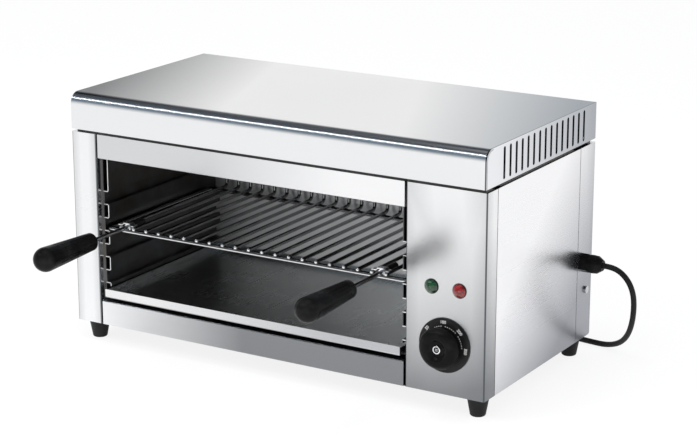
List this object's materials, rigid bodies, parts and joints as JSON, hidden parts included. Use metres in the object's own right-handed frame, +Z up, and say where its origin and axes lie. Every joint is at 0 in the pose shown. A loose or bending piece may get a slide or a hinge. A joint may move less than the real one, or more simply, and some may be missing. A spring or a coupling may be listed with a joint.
{
  "type": "cheese melter",
  "caption": "Counter-top electric cheese melter: an open-fronted stainless steel box with a sliding wire rack on handles, crumb tray, thermostat knob, pilot lamps and mains lead.",
  "frame": {"origin": "on the surface that the feet stand on, under the middle of the box round the casing and its handles", "axes": "+X to the right seen from the front, +Y to the back, +Z up; the opening and controls face -Y"},
  "size_m": [0.65, 0.5738, 0.3192],
  "materials": {
    "steel": "brushed stainless sheet, grain along the length",
    "inner_steel": "heat-darkened stainless lining",
    "chrome": "bright plated rod",
    "black_steel": "black",
    "black_plastic": "black heat-resistant moulding",
    "rubber": "black rubber",
    "wool": "mineral wool blanket",
    "element": "dull heat-treated tube",
    "ceramic": "glazed ceramic",
    "thermostat": "plated case",
    "copper": "copper capillary and bulb",
    "green_lens": "moulded faceted lens",
    "red_lens": "moulded faceted lens",
    "lamp_plastic": "white nylon",
    "wire_cover": "woven heat-proof sleeve",
    "brass": "plated brass"
  },
  "bodies": {
    "case": {"top_cover": "steel", "left_post": "steel", "control_panel": "steel", "header_panel": "steel", "front_skirt": "steel", "left_side_panel": "steel", "right_side_panel": "steel", "rear_cover": "steel", "base_plate": "steel", "lid_brackets": "inner_steel", "top_plate": "inner_steel", "left_inner_wall": "inner_steel", "right_inner_wall": "inner_steel", "left_rack_guide": "inner_steel", "right_rack_guide": "inner_steel", "cavity_back": "inner_steel", "reflector": "inner_steel", "element_supports": "inner_steel", "tray_runners": "inner_steel", "insulation": "wool", "front_element": "element", "rear_element": "element", "element_bushes": "ceramic", "terminal_block": "ceramic", "rear_screws": "chrome", "bonding_screw": "chrome", "foot_screws": "chrome", "dial_ring": "black_plastic", "cable_gland": "black_plastic", "gland_nut": "black_plastic", "plug_body": "black_plastic", "thermostat_body": "thermostat", "sensing_bulb": "copper", "green_lens": "green_lens", "red_lens": "red_lens", "lamp_bodies": "lamp_plastic", "wiring": "wire_cover", "supply_tail": "rubber", "foot_front_left": "rubber", "foot_front_right": "rubber", "foot_rear_left": "rubber", "foot_rear_right": "rubber", "cord_lead": "rubber", "cord_coil": "rubber", "plug_pins": "brass"},
    "rack": {"rack_frame": "chrome", "rack_wires": "chrome", "rack_rear_rail": "chrome", "left_handle_strap": "chrome", "left_handle_rod": "chrome", "left_handle_collar": "black_steel", "left_grip": "black_plastic", "right_handle_strap": "chrome", "right_handle_rod": "chrome", "right_handle_collar": "black_steel", "right_grip": "black_plastic"},
    "tray": {"crumb_tray": "steel"},
    "knob": {"knob": "black_plastic", "knob_insert": "chrome", "thermostat_spindle": "chrome"}
  },
  "joints": [
    {"name": "rack_slide", "type": "slide", "parent": "case", "child": "rack", "axis": [0, -1, 0], "range_m": [0, 0.2]},
    {"name": "tray_slide", "type": "slide", "parent": "case", "child": "tray", "axis": [0, -1, 0], "range_m": [0, 0.22]},
    {"name": "knob_turn", "type": "hinge", "parent": "case", "child": "knob", "pos_m": [0.2385, -0.059, 0.0848], "axis": [0, 1, 0], "range_deg": [0, 252]}
  ]
}
